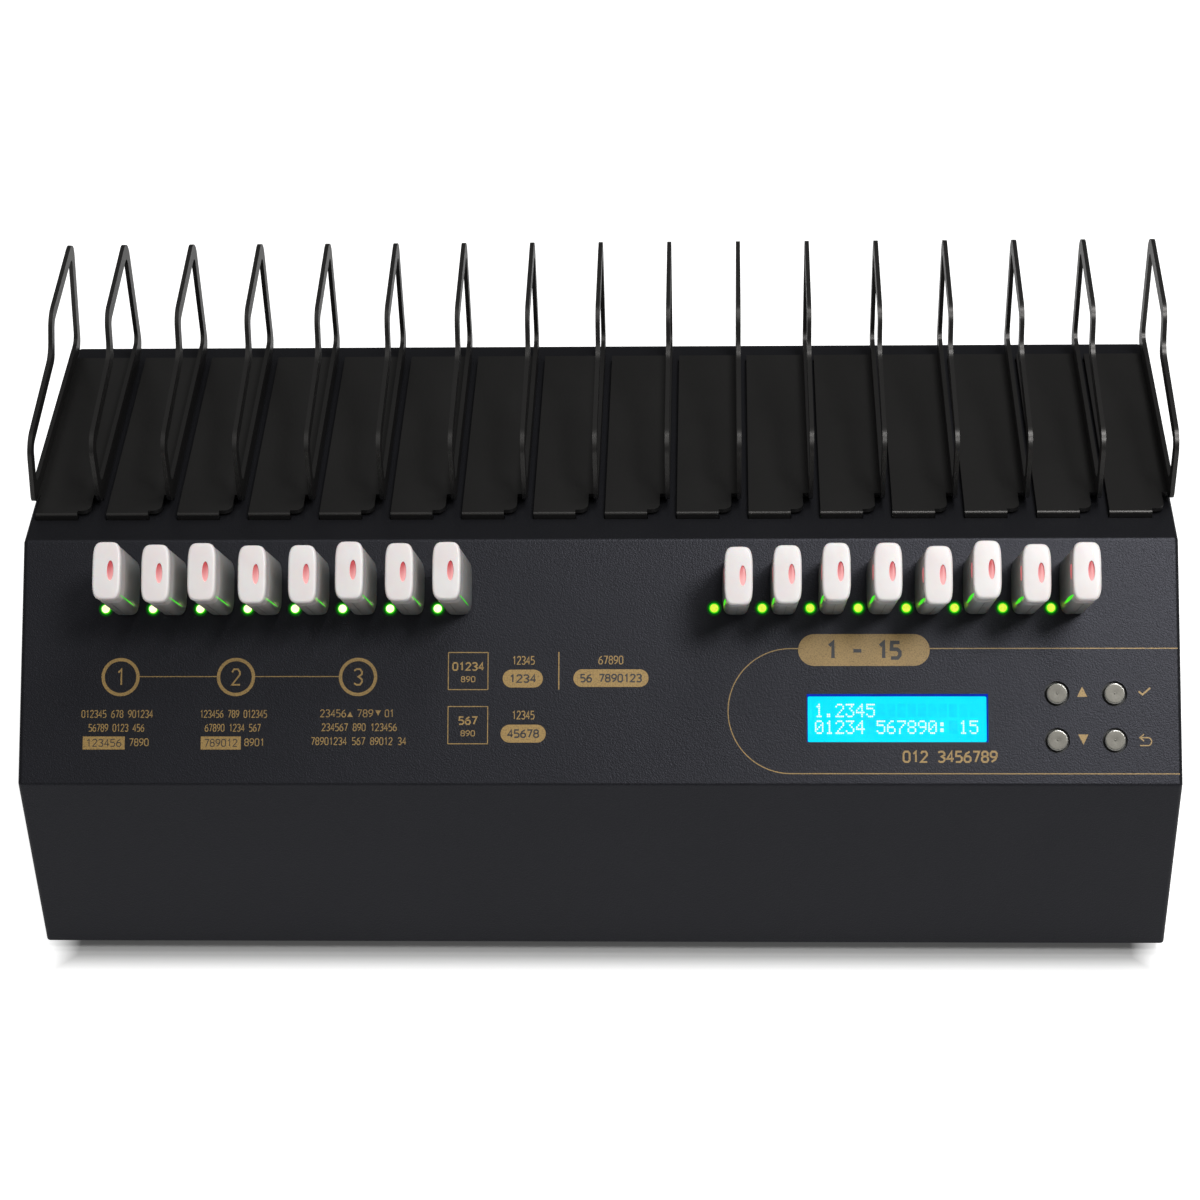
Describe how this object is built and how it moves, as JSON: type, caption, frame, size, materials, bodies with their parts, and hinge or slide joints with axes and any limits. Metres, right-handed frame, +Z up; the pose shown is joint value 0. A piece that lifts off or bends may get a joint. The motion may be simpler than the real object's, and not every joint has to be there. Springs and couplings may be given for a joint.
{
  "type": "flash drive duplicator",
  "caption": "Wedge-shaped desktop console with a sloped control panel of upright drive ports, lamps, a character display and push buttons, and a row of wire-like rack loops on its deck.",
  "frame": {"origin": "on the desk, under the middle of the whole object's length and depth", "axes": "+X to the right seen from the front, +Y to the back, +Z up; the front face looks along -Y"},
  "size_m": [0.4, 0.1844, 0.1915],
  "materials": {
    "black_paint": "fine black powder coat, slightly textured",
    "pan_paint": "black powder coat",
    "foot_rubber": "matt black rubber",
    "socket_steel": "plated steel shell",
    "lamp_plastic": "clear green lamp body",
    "board_green": "green circuit board with parts",
    "window_clear": "clear window",
    "bezel_steel": "dark plated steel",
    "display_blue": "blue backlit display cell",
    "switch_black": "black key switch",
    "standoff_brass": "plain brass",
    "screw_steel": "dark plated steel",
    "supply_aluminium": "plain aluminium case",
    "inlet_plastic": "black moulded plastic",
    "rocker_plastic": "black glossy plastic",
    "fan_plastic": "black moulded plastic",
    "cable_grey": "grey ribbon and leads",
    "button_metal": "warm grey turned metal",
    "drive_plastic": "white cap over a pale translucent body",
    "rack_paint": "black powder coat with a soft sheen"
  },
  "bodies": {
    "case": {"console_cover": "black_paint", "base_pan": "pan_paint", "rear_panel": "black_paint", "rubber_feet": "foot_rubber", "usb_sockets": "socket_steel", "led_lamps": "lamp_plastic", "port_board_left": "board_green", "port_board_right": "board_green", "display_window": "window_clear", "display_bezel": "bezel_steel", "display_glass": "display_blue", "display_board": "board_green", "keypad_board": "board_green", "key_switches": "switch_black", "standoffs": "standoff_brass", "screws": "screw_steel", "main_board": "board_green", "power_supply": "supply_aluminium", "power_inlet": "inlet_plastic", "rocker_housing": "inlet_plastic", "fan_frame": "fan_plastic", "cables": "cable_grey", "rack_bracket_01": "rack_paint", "rack_bracket_02": "rack_paint", "rack_bracket_03": "rack_paint", "rack_bracket_04": "rack_paint", "rack_bracket_05": "rack_paint", "rack_bracket_06": "rack_paint", "rack_bracket_07": "rack_paint", "rack_bracket_08": "rack_paint", "rack_bracket_09": "rack_paint", "rack_bracket_10": "rack_paint", "rack_bracket_11": "rack_paint", "rack_bracket_12": "rack_paint", "rack_bracket_13": "rack_paint", "rack_bracket_14": "rack_paint", "rack_bracket_15": "rack_paint", "rack_bracket_16": "rack_paint"},
    "drive_01": {"flash_drive_01": "drive_plastic"},
    "drive_02": {"flash_drive_02": "drive_plastic"},
    "drive_03": {"flash_drive_03": "drive_plastic"},
    "drive_04": {"flash_drive_04": "drive_plastic"},
    "drive_05": {"flash_drive_05": "drive_plastic"},
    "drive_06": {"flash_drive_06": "drive_plastic"},
    "drive_07": {"flash_drive_07": "drive_plastic"},
    "drive_08": {"flash_drive_08": "drive_plastic"},
    "drive_09": {"flash_drive_09": "drive_plastic"},
    "drive_10": {"flash_drive_10": "drive_plastic"},
    "drive_11": {"flash_drive_11": "drive_plastic"},
    "drive_12": {"flash_drive_12": "drive_plastic"},
    "drive_13": {"flash_drive_13": "drive_plastic"},
    "drive_14": {"flash_drive_14": "drive_plastic"},
    "drive_15": {"flash_drive_15": "drive_plastic"},
    "drive_16": {"flash_drive_16": "drive_plastic"},
    "button_up_body": {"button_up": "button_metal"},
    "button_ok_body": {"button_ok": "button_metal"},
    "button_down_body": {"button_down": "button_metal"},
    "button_back_body": {"button_back": "button_metal"},
    "rocker_body": {"power_rocker": "rocker_plastic"},
    "rotor_body": {"fan_rotor": "fan_plastic"}
  },
  "joints": [
    {"name": "drive_slide_01", "type": "slide", "parent": "case", "child": "drive_01", "axis": [0, -0.7071, 0.7071], "range_m": [0, 0.02]},
    {"name": "drive_slide_02", "type": "slide", "parent": "case", "child": "drive_02", "axis": [0, -0.7071, 0.7071], "range_m": [0, 0.02]},
    {"name": "drive_slide_03", "type": "slide", "parent": "case", "child": "drive_03", "axis": [0, -0.7071, 0.7071], "range_m": [0, 0.02]},
    {"name": "drive_slide_04", "type": "slide", "parent": "case", "child": "drive_04", "axis": [0, -0.7071, 0.7071], "range_m": [0, 0.02]},
    {"name": "drive_slide_05", "type": "slide", "parent": "case", "child": "drive_05", "axis": [0, -0.7071, 0.7071], "range_m": [0, 0.02]},
    {"name": "drive_slide_06", "type": "slide", "parent": "case", "child": "drive_06", "axis": [0, -0.7071, 0.7071], "range_m": [0, 0.02]},
    {"name": "drive_slide_07", "type": "slide", "parent": "case", "child": "drive_07", "axis": [0, -0.7071, 0.7071], "range_m": [0, 0.02]},
    {"name": "drive_slide_08", "type": "slide", "parent": "case", "child": "drive_08", "axis": [0, -0.7071, 0.7071], "range_m": [0, 0.02]},
    {"name": "drive_slide_09", "type": "slide", "parent": "case", "child": "drive_09", "axis": [0, -0.7071, 0.7071], "range_m": [0, 0.02]},
    {"name": "drive_slide_10", "type": "slide", "parent": "case", "child": "drive_10", "axis": [0, -0.7071, 0.7071], "range_m": [0, 0.02]},
    {"name": "drive_slide_11", "type": "slide", "parent": "case", "child": "drive_11", "axis": [0, -0.7071, 0.7071], "range_m": [0, 0.02]},
    {"name": "drive_slide_12", "type": "slide", "parent": "case", "child": "drive_12", "axis": [0, -0.7071, 0.7071], "range_m": [0, 0.02]},
    {"name": "drive_slide_13", "type": "slide", "parent": "case", "child": "drive_13", "axis": [0, -0.7071, 0.7071], "range_m": [0, 0.02]},
    {"name": "drive_slide_14", "type": "slide", "parent": "case", "child": "drive_14", "axis": [0, -0.7071, 0.7071], "range_m": [0, 0.02]},
    {"name": "drive_slide_15", "type": "slide", "parent": "case", "child": "drive_15", "axis": [0, -0.7071, 0.7071], "range_m": [0, 0.02]},
    {"name": "drive_slide_16", "type": "slide", "parent": "case", "child": "drive_16", "axis": [0, -0.7071, 0.7071], "range_m": [0, 0.02]},
    {"name": "button_up_press", "type": "slide", "parent": "case", "child": "button_up_body", "axis": [0, 0.7071, -0.7071], "range_m": [0, 0.0005], "stiffness_N_per_m": 1200, "springref_m": -0.0006},
    {"name": "button_ok_press", "type": "slide", "parent": "case", "child": "button_ok_body", "axis": [0, 0.7071, -0.7071], "range_m": [0, 0.0005], "stiffness_N_per_m": 1200, "springref_m": -0.0006},
    {"name": "button_down_press", "type": "slide", "parent": "case", "child": "button_down_body", "axis": [0, 0.7071, -0.7071], "range_m": [0, 0.0005], "stiffness_N_per_m": 1200, "springref_m": -0.0006},
    {"name": "button_back_press", "type": "slide", "parent": "case", "child": "button_back_body", "axis": [0, 0.7071, -0.7071], "range_m": [0, 0.0005], "stiffness_N_per_m": 1200, "springref_m": -0.0006},
    {"name": "power_rocker_turn", "type": "hinge", "parent": "case", "child": "rocker_body", "pos_m": [-0.104, 0.08725, 0.04], "axis": [-1, 0, 0], "range_deg": [0, 18]},
    {"name": "fan_spin", "type": "hinge", "parent": "case", "child": "rotor_body", "pos_m": [0.12, 0.07855, 0.068], "axis": [0, 1, 0], "continuous": true}
  ]
}
